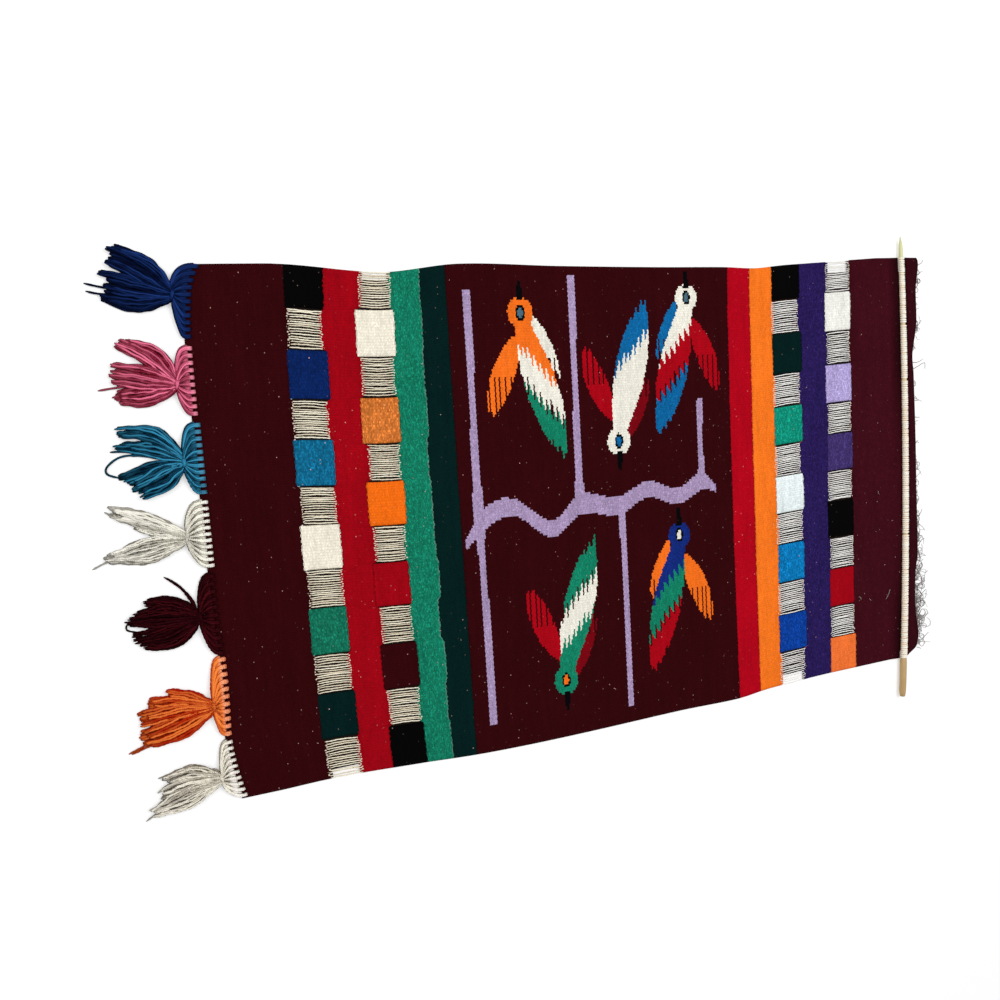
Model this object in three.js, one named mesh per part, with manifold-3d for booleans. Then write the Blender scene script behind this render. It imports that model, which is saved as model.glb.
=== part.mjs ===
import * as THREE from 'three';
import { mergeVertices } from 'three/addons/utils/BufferGeometryUtils.js';
import Module from 'manifold-3d';

// A flat-woven wool rug, laid face up on the ground, with a hanging rod woven into
// one end, seven yarn tassels on the other, and the short frayed warp ends beyond the rod.
// Millimetres. +X runs along the warp from the tassels to the rod, +Y across the
// cloth, +Z up. The near selvage lies at about y = 0, the tassel end at about x = 0.

const clothLength = 1035;
const clothWidth = 600;
const clothThick = 3;
const gap = 0.3;

// The selvages draw in and wander: how far each one lies from its straight line.
const selvages = [
  { x: 60, near: 3, far: 4 },
  { x: 120, near: 4, far: 3 },
  { x: 180, near: 2, far: -3 },
  { x: 230, near: -1, far: -6 },
  { x: 320, near: -6, far: 3 },
  { x: 450, near: -7, far: -1 },
  { x: 600, near: -5, far: -4 },
  { x: 700, near: -6, far: -5 },
  { x: 750, near: -1, far: -7 },
  { x: 800, near: 1, far: -3 },
  { x: 860, near: 3, far: 0 },
  { x: 960, near: 4, far: 5 },
];

// The tassel end: how far it stands in from x = 0.
const tasselEnd = [
  { y: 2, inset: 13 },
  { y: 40, inset: 5 },
  { y: 75, inset: 1 },
  { y: 150, inset: 0 },
  { y: 450, inset: 0 },
  { y: 520, inset: 1 },
  { y: 560, inset: 6 },
  { y: 604, inset: 16 },
];

// The rod end: how far it stands past clothLength. Its near corner is cut off.
const rodEnd = [
  { y: 5, past: -18 },
  { y: 20, past: -2 },
  { y: 39, past: 5 },
  { y: 80, past: -2 },
  { y: 130, past: -2 },
  { y: 160, past: 2 },
  { y: 255, past: 0 },
  { y: 430, past: -4 },
  { y: 460, past: -6 },
  { y: 505, past: 2 },
  { y: 555, past: 2 },
  { y: 595, past: 7 },
  { y: 606, past: -2 },
];

// Four columns of cells cross the cloth, and every second cell is bare warp.
const cellsAcross = 12;
const warpLayer = 1.2;
const windowMargin = 1;
// The weave packs a little towards the far selvage, and a bare cell is shorter than a woven one.
const windowShift = 3.4;
const windowDeep = 45;
const columns = [
  { from: 116.1, to: 152.8, firstBare: 1 },
  { from: 196.6, to: 233.6, firstBare: 0 },
  { from: 776.7, to: 817.4, firstBare: 1 },
  { from: 868, to: 908.2, firstBare: 0 },
];

// The rod is a whittled stick, a little bowed and thinner at its far end.
const rodNearRadius = 5;
const rodFarRadius = 4;
const rodNearEnd = -58;
const rodFarEnd = 634;
const rodMiddle = { x: 1009, y: 340 };
const rodBow = 10;
const rodBowReach = 400;
const rodSides = 16;
const rodNearTip = [{ inward: 0, share: 0.6 }, { inward: 3, share: 0.8 }, { inward: 30, share: 0.97 }];
const rodFarTip = [{ inward: 16, share: 0.9 }, { inward: 2, share: 0.5 }, { inward: 0, share: 0.3 }];

// The cloth splits round the rod into a thin under-layer and an arched over-layer.
const underLayer = 1;
const overLayer = 1.3;
const sleeveHalf = 20;
const sleeveRise = 0.75;
const archShoulder = Math.PI / 5;
const sleeveSteps = 16;
const archSides = 10;
const pastSelvage = 40;

// Each tassel is a fan of stitches over the cloth's edge, a tied waist, and locks.
// A lock's tip is where it ends, and its half is half its greatest width.
const stitchCount = 12;
const stitchWidth = 3.4;
const stitchReach = 8;
const stitchHeight = 2.2;
const stitchRoot = 2;
const fanBulge = 0.55;
const fanSeat = 1;
const waistHalf = 8;
const lockHeight = 7;
const lockLift = 0.7;
const lockSides = 10;
const tassels = [
  {
    colour: 0x1b3a86, low: 525, high: 603, waist: { x: -7, y: 576 },
    locks: [{ x: -68, y: 621, half: 13 }, { x: -87, y: 582, half: 15 }, { x: -60, y: 562, half: 10 }],
  },
  {
    colour: 0xd0588c, low: 442, high: 520, waist: { x: -11, y: 484 },
    locks: [{ x: -62, y: 529, half: 11 }, { x: -82, y: 497, half: 14 }, { x: -74, y: 461, half: 13 }],
  },
  {
    colour: 0x1686a8, low: 356, high: 437, waist: { x: -12, y: 400 },
    locks: [{ x: -80, y: 426, half: 13 }, { x: -84, y: 383, half: 12 }, { x: -66, y: 361, half: 13 }],
  },
  {
    colour: 0xd9d2c2, low: 274, high: 351, waist: { x: -17, y: 311 },
    locks: [{ x: -97, y: 352, half: 9 }, { x: -104, y: 293, half: 15 }],
  },
  {
    colour: 0x3d0c18, low: 176, high: 270, waist: { x: -12, y: 221 },
    locks: [{ x: -74, y: 251, half: 13 }, { x: -87, y: 233, half: 11 }, { x: -78, y: 192, half: 15 }],
  },
  {
    colour: 0xe4641a, low: 79, high: 170, waist: { x: -7, y: 122 },
    locks: [{ x: -72, y: 139, half: 10 }, { x: -88, y: 117, half: 12 }, { x: -96, y: 82, half: 13 }],
  },
  {
    colour: 0xd8d0be, low: 4, high: 73, waist: { x: -4, y: 33 },
    locks: [{ x: -68, y: 42, half: 10 }, { x: -85, y: 6, half: 13 }],
  },
];

// A lock swells from the waist and closes to its tip: reach is a share of its length.
const lockProfile = [
  { reach: 0, swell: 0.45 },
  { reach: 0.2, swell: 0.8 },
  { reach: 0.5, swell: 1 },
  { reach: 0.8, swell: 0.75 },
  { reach: 1, swell: 0.2 },
];

// Groups of warp ends that stand out past the rod end, each one a tooth of a comb.
const frayThick = 1.2;
const frayRim = 1.5;
const frayWidth = 2;
const frayRoot = { inside: 4, outside: 2 };
const frayEndShare = 0.33;
const longestFray = 30;
const frays = [
  { y: 590, length: 12, lean: 3 },
  { y: 574, length: 10, lean: -6 },
  { y: 535, length: 14, lean: 3 },
  { y: 505, length: 10, lean: 6 },
  { y: 488, length: 20, lean: 14 },
  { y: 466, length: 12, lean: -8 },
  { y: 300, length: 9, lean: 4 },
  { y: 252, length: 20, lean: 10 },
  { y: 222, length: 18, lean: -4 },
  { y: 180, length: 9, lean: 5 },
  { y: 150, length: 14, lean: -8 },
  { y: 118, length: 16, lean: 6 },
  { y: 92, length: 20, lean: -10 },
  { y: 66, length: 24, lean: 0 },
  { y: 46, length: 22, lean: -6 },
  { y: 34, length: 16, lean: -12 },
];

const wasm = await Module();
wasm.setup();
const { Manifold, Mesh: SolidMesh } = wasm;

// A closed three.js geometry as a solid, without the slivers that meet at a pole.
function solidOf(geometry) {
  const bare = geometry.clone();
  bare.deleteAttribute('normal');
  bare.deleteAttribute('uv');
  const merged = mergeVertices(bare);
  const corners = merged.index.array;
  const triangles = [];
  for (let i = 0; i < corners.length; i += 3) {
    const [a, b, c] = corners.slice(i, i + 3);
    if (a !== b && b !== c && c !== a) {
      triangles.push(a, b, c);
    }
  }
  return new Manifold(new SolidMesh({
    numProp: 3,
    vertProperties: new Float32Array(merged.attributes.position.array),
    triVerts: new Uint32Array(triangles),
  }));
}

function geometryOf(solid) {
  const mesh = solid.getMesh();
  const geometry = new THREE.BufferGeometry();
  geometry.setAttribute('position', new THREE.BufferAttribute(mesh.vertProperties, 3));
  geometry.setIndex(new THREE.BufferAttribute(mesh.triVerts, 1));
  geometry.computeVertexNormals();
  return geometry;
}

function box(low, high) {
  const geometry = new THREE.BoxGeometry(high.x - low.x, high.y - low.y, high.z - low.z);
  geometry.translate((low.x + high.x) / 2, (low.y + high.y) / 2, (low.z + high.z) / 2);
  return geometry;
}

function mix(a, b, share) {
  return a + (b - a) * share;
}

// The cloth's outline seen from above, grown outwards by the given margin.
function outline(grow) {
  const near = selvages.map(({ x, near: off }) => new THREE.Vector2(x, off - grow));
  const far = selvages.map(({ x, far: off }) => new THREE.Vector2(x, clothWidth + off + grow));
  const start = tasselEnd.map(({ y, inset }) => new THREE.Vector2(inset - grow, y));
  const end = rodEnd.map(({ y, past }) => new THREE.Vector2(clothLength + past + grow, y));
  start[0].y -= grow;
  start[start.length - 1].y += grow;
  end[0].y -= grow;
  end[end.length - 1].y += grow;
  const shape = new THREE.Shape();
  shape.moveTo(start[0].x, start[0].y);
  shape.splineThru(near.concat(end[0]));
  shape.splineThru(end.slice(1));
  shape.splineThru(far.reverse().concat(start[start.length - 1]));
  shape.splineThru(start.slice(1, -1).reverse());
  return shape;
}

function plate(shape, height) {
  return new THREE.ExtrudeGeometry(shape, { depth: height, bevelEnabled: false, curveSegments: 2 });
}

// The rod's run: its radius and the place of its axis at each y.
function rodRadius(y) {
  return mix(rodNearRadius, rodFarRadius, y / clothWidth);
}

function rodX(y) {
  return rodMiddle.x - rodBow * ((y - rodMiddle.y) / rodBowReach) ** 2;
}

function rodZ(y) {
  return underLayer + gap + rodRadius(y);
}

// Move a shape that was made round a straight axis along Y onto the rod's run.
function alongRod(geometry, place) {
  const position = geometry.attributes.position;
  for (let i = 0; i < position.count; i += 1) {
    const y = position.getY(i);
    position.setX(i, position.getX(i) + rodX(y));
    position.setZ(i, place(position.getZ(i), y));
  }
  return geometry;
}

function turnedStick(profile) {
  const points = profile.map(({ radius, y }) => new THREE.Vector2(radius, y));
  return alongRod(new THREE.LatheGeometry(points, rodSides), (z, y) => z + rodZ(y));
}

function hangingRod() {
  const profile = [{ radius: 0, y: rodNearEnd }];
  for (const { inward, share } of rodNearTip) {
    profile.push({ radius: rodNearRadius * share, y: rodNearEnd + inward });
  }
  for (let step = 0; step <= sleeveSteps; step += 1) {
    const y = clothWidth * step / sleeveSteps;
    profile.push({ radius: rodRadius(y), y });
  }
  for (const { inward, share } of rodFarTip) {
    profile.push({ radius: rodFarRadius * share, y: rodFarEnd - inward });
  }
  profile.push({ radius: 0, y: rodFarEnd });
  return turnedStick(profile);
}

// The rod's way through the cloth, clear of it all round.
function tunnel() {
  const profile = [{ radius: 0, y: -pastSelvage }];
  for (let step = 0; step <= sleeveSteps; step += 1) {
    const y = mix(-pastSelvage, clothWidth + pastSelvage, step / sleeveSteps);
    profile.push({ radius: rodRadius(y) + gap, y });
  }
  profile.push({ radius: 0, y: clothWidth + pastSelvage });
  return turnedStick(profile);
}

// The cloth over the rod: it rises from the flat, arches across and comes down again.
function sleeve() {
  const archRadius = rodNearRadius + gap + overLayer;
  const archZ = underLayer + gap + rodNearRadius;
  const shape = new THREE.Shape();
  shape.moveTo(-sleeveHalf, 0);
  shape.lineTo(sleeveHalf, 0);
  shape.lineTo(sleeveHalf, clothThick);
  shape.lineTo(sleeveHalf * sleeveRise, clothThick);
  shape.absarc(0, archZ, archRadius, archShoulder, Math.PI - archShoulder, false);
  shape.lineTo(-sleeveHalf * sleeveRise, clothThick);
  shape.lineTo(-sleeveHalf, clothThick);
  const geometry = new THREE.ExtrudeGeometry(shape, {
    depth: clothWidth + 2 * pastSelvage,
    steps: sleeveSteps,
    bevelEnabled: false,
    curveSegments: archSides,
  });
  geometry.rotateX(Math.PI / 2);
  geometry.translate(0, clothWidth + pastSelvage, 0);
  const tallest = archZ + archRadius - clothThick;
  return alongRod(geometry, (z, y) => {
    const rise = 2 * (rodRadius(y) + gap) + underLayer + overLayer - clothThick;
    return z > clothThick ? clothThick + (z - clothThick) * rise / tallest : z;
  });
}

// A recess over each bare cell leaves the layer of warp threads on the ground.
function warpWindows() {
  const cell = clothWidth / cellsAcross;
  const recesses = [];
  for (const { from, to, firstBare } of columns) {
    for (let row = firstBare; row < cellsAcross; row += 2) {
      const middleY = clothWidth - (row + 0.5) * cell + windowShift;
      const topY = row === 0 ? clothWidth + cell : middleY + windowDeep / 2;
      const lowY = row === cellsAcross - 1 ? -cell : middleY - windowDeep / 2;
      const low = new THREE.Vector3(from + windowMargin, lowY, warpLayer);
      const high = new THREE.Vector3(to - windowMargin, topY, clothThick * 2);
      recesses.push(solidOf(box(low, high)));
    }
  }
  return Manifold.union(recesses);
}

function wovenField() {
  const sheet = solidOf(plate(outline(0), clothThick));
  const aboveRod = 4 * rodNearRadius;
  const band = solidOf(sleeve()).intersect(solidOf(plate(outline(0), aboveRod)));
  return sheet.add(band).subtract(solidOf(tunnel())).subtract(warpWindows());
}

// How far the tassel end stands in at a given y.
function insetAt(y) {
  const next = tasselEnd.findIndex((row) => row.y >= y);
  const above = tasselEnd[Math.max(next, 1)];
  const below = tasselEnd[Math.max(next, 1) - 1];
  return mix(below.inset, above.inset, (y - below.y) / (above.y - below.y));
}

function fan({ low, high, waist }) {
  const bulgeX = waist.x * fanBulge;
  const middle = (low + high) / 2;
  const shape = new THREE.Shape();
  shape.moveTo(insetAt(high) + fanSeat, high);
  shape.quadraticCurveTo(bulgeX, mix(waist.y, high, fanBulge), waist.x, waist.y + waistHalf);
  shape.lineTo(waist.x, waist.y - waistHalf);
  shape.quadraticCurveTo(bulgeX, mix(waist.y, low, fanBulge), insetAt(low) + fanSeat, low);
  shape.lineTo(insetAt(middle) + fanSeat, middle);
  return solidOf(plate(shape, clothThick + gap + stitchHeight));
}

function stitches({ low, high }) {
  const fingers = [];
  const pitch = (high - low - stitchWidth) / (stitchCount - 1);
  for (let i = 0; i < stitchCount; i += 1) {
    const y = low + i * pitch;
    const x = insetAt(y);
    const from = new THREE.Vector3(x - stitchRoot, y, clothThick + gap);
    const to = new THREE.Vector3(x + stitchReach, y + stitchWidth, clothThick + gap + stitchHeight);
    fingers.push(solidOf(box(from, to)));
  }
  return fingers;
}

// A lock is a swelling bundle, lower than it is wide, cut flat by the ground.
function lock(waist, tip) {
  const length = Math.hypot(tip.x - waist.x, tip.y - waist.y);
  const points = [new THREE.Vector2(0, -waistHalf / 2)];
  for (const { reach, swell } of lockProfile) {
    points.push(new THREE.Vector2(tip.half * swell, length * reach));
  }
  points.push(new THREE.Vector2(0, length));
  const geometry = new THREE.LatheGeometry(points, lockSides);
  geometry.scale(1, 1, lockHeight / tip.half);
  geometry.rotateZ(Math.atan2(tip.y - waist.y, tip.x - waist.x) - Math.PI / 2);
  geometry.translate(waist.x, waist.y, lockHeight * lockLift);
  return solidOf(geometry);
}

function tassel(spec) {
  const pieces = stitches(spec).concat(fan(spec), spec.locks.map((tip) => lock(spec.waist, tip)));
  const deep = new THREE.Vector3(-clothLength, -clothLength, -clothLength);
  const ground = solidOf(box(deep, new THREE.Vector3(clothLength, clothLength, 0)));
  const clearance = solidOf(plate(outline(gap), clothThick + gap));
  return Manifold.union(pieces).subtract(ground).subtract(clearance);
}

// The comb of warp ends: a thin rim against the rod end, with a tooth for each group.
function frayedEnds() {
  const low = frays[frays.length - 1].y - frayWidth;
  const high = frays[0].y + frayWidth;
  const strip = solidOf(box(
    new THREE.Vector3(rodMiddle.x, low, 0),
    new THREE.Vector3(clothLength + longestFray, high, frayThick),
  ));
  const rim = solidOf(plate(outline(gap + frayRim), frayThick)).intersect(strip);
  const teeth = frays.map(({ y, length, lean }) => {
    const inside = clothLength - frayRoot.inside;
    const outside = clothLength + frayRoot.outside;
    const endHalf = frayWidth * frayEndShare;
    const tooth = new THREE.Shape();
    tooth.moveTo(inside, y - frayWidth);
    tooth.lineTo(outside, y - frayWidth / 2);
    tooth.lineTo(clothLength + length, y + lean - endHalf);
    tooth.lineTo(clothLength + length, y + lean + endHalf);
    tooth.lineTo(outside, y + frayWidth / 2);
    tooth.lineTo(inside, y + frayWidth);
    return solidOf(plate(tooth, frayThick));
  });
  return Manifold.union([rim, ...teeth]).subtract(solidOf(plate(outline(gap), clothThick)));
}

function piece(name, geometry, color, roughness) {
  const mesh = new THREE.Mesh(geometry, new THREE.MeshStandardMaterial({ color, roughness, metalness: 0 }));
  mesh.name = name;
  return mesh;
}

const rug = new THREE.Group();
rug.add(piece('woven_field', geometryOf(wovenField()), 0x3a0d17, 0.95));
rug.add(piece('hanging_rod', geometryOf(solidOf(hangingRod())), 0xcaa878, 0.6));
rug.add(piece('frayed_ends', geometryOf(frayedEnds()), 0xd8cfbd, 0.95));
tassels.forEach((spec, i) => {
  rug.add(piece(`tassel_${i + 1}`, geometryOf(tassel(spec)), spec.colour, 0.9));
});

// The origin sits on the ground under the middle of the whole rug.
const extent = new THREE.Box3().setFromObject(rug);
const middle = extent.getCenter(new THREE.Vector3());
rug.position.set(-middle.x, -middle.y, -extent.min.z);

export default rug;
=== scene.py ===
import math
import random

import bmesh
import bpy
from mathutils import Matrix, Vector


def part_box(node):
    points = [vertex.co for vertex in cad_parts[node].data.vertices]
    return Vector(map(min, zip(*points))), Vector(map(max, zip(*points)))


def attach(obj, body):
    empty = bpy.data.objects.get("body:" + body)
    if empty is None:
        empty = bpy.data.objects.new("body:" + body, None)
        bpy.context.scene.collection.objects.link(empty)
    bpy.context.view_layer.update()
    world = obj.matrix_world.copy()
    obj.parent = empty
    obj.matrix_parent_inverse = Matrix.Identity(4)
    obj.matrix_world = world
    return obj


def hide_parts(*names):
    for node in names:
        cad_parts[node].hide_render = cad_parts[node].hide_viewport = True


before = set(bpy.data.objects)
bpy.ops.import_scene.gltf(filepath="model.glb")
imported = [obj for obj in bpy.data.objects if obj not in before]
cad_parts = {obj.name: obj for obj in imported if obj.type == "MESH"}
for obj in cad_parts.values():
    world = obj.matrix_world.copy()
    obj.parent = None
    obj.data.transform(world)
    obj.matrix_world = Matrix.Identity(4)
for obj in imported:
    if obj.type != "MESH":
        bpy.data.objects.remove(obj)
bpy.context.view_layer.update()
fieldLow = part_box("woven_field")[0]
rodLow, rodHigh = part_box("hanging_rod")
mm = 0.001

# Sizes below are in millimetres of the cloth's own place: x runs along the warp from the
# tassel end, y across it from the near selvage, z up from the ground.
cornerIn = (0.12, 7)  # how far the cloth's own corner lies inside its box, as the edges swing out past it
clothCorner = Vector((fieldLow.x + cornerIn[0] * mm, fieldLow.y + cornerIn[1] * mm, 0))
fullTurn = 6.28  # the range of a wave's chance start


def placed(x, y, z=0.0):  # from the cloth's own place to the row frame, in metres
    return Vector((x * mm, y * mm, z * mm)) + clothCorner


def shown(red, green, blue):  # a colour as it looks on a screen, 0 to 255, made linear
    def linear(c):
        return c / 12.92 if c < 0.04 else ((c + 0.055) / 1.055) ** 2.4
    return (linear(red / 255), linear(green / 255), linear(blue / 255), 1.0)


def smooth(t):
    t = min(max(t, 0.0), 1.0)
    return t * t * (3 - 2 * t)


def through(rows, at, column=1):  # a smooth curve through a table's rows
    last = len(rows) - 1
    if at <= rows[0][0]:
        return rows[0][column]
    if at >= rows[last][0]:
        return rows[last][column]
    i = 0
    while rows[i + 1][0] <= at:
        i += 1
    before, a, b, after = (rows[min(max(k, 0), last)] for k in (i - 1, i, i + 1, i + 2))
    span = b[0] - a[0]
    t = (at - a[0]) / span
    leave = (b[column] - before[column]) / (b[0] - before[0]) * span
    arrive = (after[column] - a[column]) / (after[0] - a[0]) * span
    bend = a[column] - b[column]
    return a[column] + t * (leave + t * (-3 * bend - 2 * leave - arrive + t * (2 * bend + leave + arrive)))


def between(rows, at, column=1):  # straight lines through a table's rows
    if at <= rows[0][0]:
        return rows[0][column]
    for a, b in zip(rows, rows[1:]):
        if at <= b[0]:
            return a[column] + (b[column] - a[column]) * (at - a[0]) / (b[0] - a[0])
    return rows[-1][column]


def linked(name, data):
    made = bpy.data.objects.new(name, data)
    bpy.context.scene.collection.objects.link(made)
    return made


def finished(name, bm, material):  # a bmesh as an object with its material
    mesh = bpy.data.meshes.new(name)
    bm.to_mesh(mesh)
    bm.free()
    mesh.materials.append(material)
    return linked(name, mesh)


def takes(operation, swapped=False):  # a method of a Shade that adds one Math node
    def method(self, other):
        return self.math(operation, other, self) if swapped else self.math(operation, self, other)
    return method


class Shade:  # wraps a socket, so that an expression on it adds its Math nodes
    def __init__(self, paint, socket):
        self.paint = paint
        self.socket = socket

    def math(self, operation, *values):
        return self.paint.add("Math", {"operation": operation}, dict(enumerate(values)))

    __add__ = takes("ADD")
    __radd__ = takes("ADD", True)
    __sub__ = takes("SUBTRACT")
    __rsub__ = takes("SUBTRACT", True)
    __mul__ = takes("MULTIPLY")
    __rmul__ = takes("MULTIPLY", True)
    __truediv__ = takes("DIVIDE")
    __gt__ = takes("GREATER_THAN")
    __lt__ = takes("LESS_THAN")
    __pow__ = takes("POWER")
    least = takes("MINIMUM")
    most = takes("MAXIMUM")

    def __abs__(self):
        return self.math("ABSOLUTE", self)

    def floor(self):
        return self.math("FLOOR", self)

    def part(self):
        return self.math("FRACT", self)

    def held(self):  # kept between 0 and 1
        return self.most(0.0).least(1.0)


class Paint:  # the nodes of a material, or of the world
    def __init__(self, name, owner=None):
        self.owner = owner or bpy.data.materials.new(name)
        self.owner.use_nodes = True
        self.tree = self.owner.node_tree
        self.tree.nodes.clear()

    def add(self, kind, settings=None, values=None, out=0):
        made = self.tree.nodes.new("ShaderNode" + kind)
        for name, value in (settings or {}).items():
            if name == "stops":
                ramp = made.color_ramp
                ramp.elements.remove(ramp.elements[1])
                for i, (place, colour) in enumerate(value):
                    stop = ramp.elements[0] if i == 0 else ramp.elements.new(place)
                    stop.position = place
                    stop.color = colour
            elif name == "interpolation" and hasattr(made, "color_ramp"):
                made.color_ramp.interpolation = value
            else:
                setattr(made, name, value)
        for name, value in (values or {}).items():
            if isinstance(value, Shade):
                self.tree.links.new(value.socket, made.inputs[name])
            else:
                made.inputs[name].default_value = value
        return Shade(self, made.outputs[out]) if made.outputs else None

    def ramp(self, at, stops, interpolation="LINEAR", out=0):
        return self.add("ValToRGB", {"stops": stops, "interpolation": interpolation}, {0: at}, out)

    def mix(self, share, a, b, blend="MIX"):
        return self.add("Mix", {"data_type": "RGBA", "blend_type": blend}, {0: share, 6: a, 7: b}, 2)

    def scaled(self, colour, by):
        return self.add("VectorMath", {"operation": "SCALE"}, {0: colour, "Scale": by})

    def stretched(self, vector, by):
        return self.add("VectorMath", {"operation": "MULTIPLY"}, {0: vector, 1: by})

    def chances(self, at, out=0):  # a chance value for each whole place, or three of them as out 1
        return self.add("TexWhiteNoise", {"noise_dimensions": "2D"}, {"Vector": at}, out)

    def chanceSquares(self, vector, by, out=0):
        squares = self.add("VectorMath", {"operation": "FLOOR"}, {0: self.stretched(vector, by)})
        return self.chances(squares, out)

    def parts(self, vector):
        split = self.add("SeparateXYZ", None, {0: vector})
        outs = split.socket.node.outputs
        return Shade(self, outs[0]), Shade(self, outs[1]), Shade(self, outs[2])

    def noise(self, at, scale, detail=2.0, out=0):
        return self.add("TexNoise", None, {"Vector": at, "Scale": scale, "Detail": detail}, out)

    def finish(self, values, bump=None, strength=1.0, depth=1.0):
        if bump is not None:
            uneven = {"Strength": strength, "Distance": depth, "Height": bump}
            values["Normal"] = self.add("Bump", None, uneven)
        skin = self.add("BsdfPrincipled", None, values)
        self.add("OutputMaterial", None, {"Surface": skin})
        return self.owner


# The cloth's outline, its stripes and where each point of it lies
cloth = {
    "long": 1035, "wide": 600, "ribs": 192, "thick": 2.7,
    # how far each selvage lies from its straight line: x, near, far
    "selvages": [(60, 3, 5.5), (115, 4, 4.6), (180, 2, -3), (230, -1, -6), (320, -6, 3), (450, -7, -1),
                 (600, -5, -4), (700, -6, -5), (750, -1, -7), (800, 1, -3), (860, 3, 0), (960, 4, 5)],
    # how far each end lies from its straight line: y, how far
    "tasselEnd": [(2, 13), (40, 5), (75, 1), (100, 1.5), (135, 2.8), (165, 2.6), (220, 1), (300, 0),
                  (450, 0), (530, 1), (562, 4), (585, 8), (604, 16)],
    "rodEnd": [(1, -18), (6, -9), (12, 0), (26, 4.5), (40, 4), (80, -2), (130, -2), (160, 2), (255, 0),
               (430, -4), (460, -6), (505, 2), (555, 2), (595, 7), (606, -2)],
    "tasselEndReach": 110,  # how far in the uneven tassel end is felt
    # the stripes bow towards the tassels, as much as the row says at each x
    "bow": [(0, 0), (100, 1), (260, 0.9), (310, 0), (640, 0), (702, 0.45), (738, 0.3), (777, 0), (1035, 0)],
    "bowDepth": 6.5, "bowRound": 0.6,
    # the weave pulls in at each bare cell and lets go at each woven one: x, how far it moves at every
    # second row, how far at all of them, how much taller than its share every second row is
    "sway": [(80, 0, 0, 0), (116, -3.7, -0.3, 1.6), (153, 3.2, 1.5, 1.6), (197, 3.9, 0.4, -1.6),
             (234, -3.4, 0.6, -1.6), (271, -1, 0, 0), (302, 0, 0, 0), (738, 0, 0, 0), (777, -2.2, -1.2, 1.6),
             (817, 3.6, 1.1, 1.6), (868, 3.2, 0.9, -1.6), (908, -3, 0.8, -1.6), (955, 0, 0, 0)],
    "stray": 1.3,  # how far a row's own sway may differ
    "stepSharp": 36, "stepShift": 0.022,  # the sway steps at a seam, so woven cells keep their corners
    # the rows crowd towards the far selvage: distance from it, how far
    "crowd": [(0, 0), (50, 5), (170, 2.5), (300, 4), (400, 5.5), (500, 2), (600, 0)],
    "crowdIn": 80, "crowdEnd": 980, "crowdOut": 60, "edgeIn": 40,
    "followRod": 940, "followIn": 60, "followOut": 40,  # where the weave bends with the bowed rod
    "swell": 0.35, "swellFrom": 0.8, "swellAlong": (41, 97), "swellAcross": (67, 53),  # soft swells
    "rise": 2.4, "riseLong": 17,  # on to the rod
    "rim": 0.7,  # how far each edge's rim is drawn in, so that it is round
    "panelSteps": 200, "columnSteps": 7, "plainSteps": 3,
    "beforeRod": (988, 996), "afterRod": 1024,  # more lines of points beside the rod
}
rod = {
    "nearRadius": 5.0, "farRadius": 4.0, "nearEnd": -56, "farEnd": 634,
    "middle": (1009, 340), "bow": 10, "bowReach": 400, "lift": 1.3, "slotHalf": 5.5,
    "sides": 20, "rings": 64, "endRings": (-0.985, -0.95, 0.94, 0.975, 0.992),
    "blunt": 8, "bluntShare": 0.78,  # the near end is rounded off
    "neckFrom": 606, "neckShare": 0.72, "point": 14, "pointShare": 0.5,  # the far end is cut thin and pointed
    "underShare": 0.8, "bareShare": 0.98,  # thickness under the warps and past them
    "knots": (0.03, 17, 2), "dents": (0.02, 7.3, -1),  # height, length, turns round the stick
    "mostKnot": 1.04,
    "grain": (420.0, 16.0, 420.0), "grainShare": 0.45, "grainColour": shown(150, 118, 74), "patches": 46.0,
    "wood": [(0, shown(196, 162, 108)), (0.3, shown(226, 200, 156)), (0.9, shown(234, 218, 176)),
             (0.955, shown(228, 232, 176))],  # from the near end to the far one
}
ribPitch = cloth["wide"] / cloth["ribs"]
cellsAcross = 12
cellDeep = cloth["wide"] / cellsAcross


def rodSwing(y):
    return -rod["bow"] * ((y - rod["middle"][1]) / rod["bowReach"]) ** 2


def rodRadius(y):
    return rod["nearRadius"] + (rod["farRadius"] - rod["nearRadius"]) * y / cloth["wide"]


def strayingSway():  # the sway at each x, from the far selvage's row to the near one's
    chance = random.Random(3)
    rows = []
    for x, pull, drift, _ in cloth["sway"]:
        stray = cloth["stray"] if pull else 0
        moves = [drift + pull * (-1) ** row + chance.uniform(-stray, stray) for row in range(cellsAcross)]
        rows.append((x, moves))
    return rows


swayRows = strayingSway()


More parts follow.
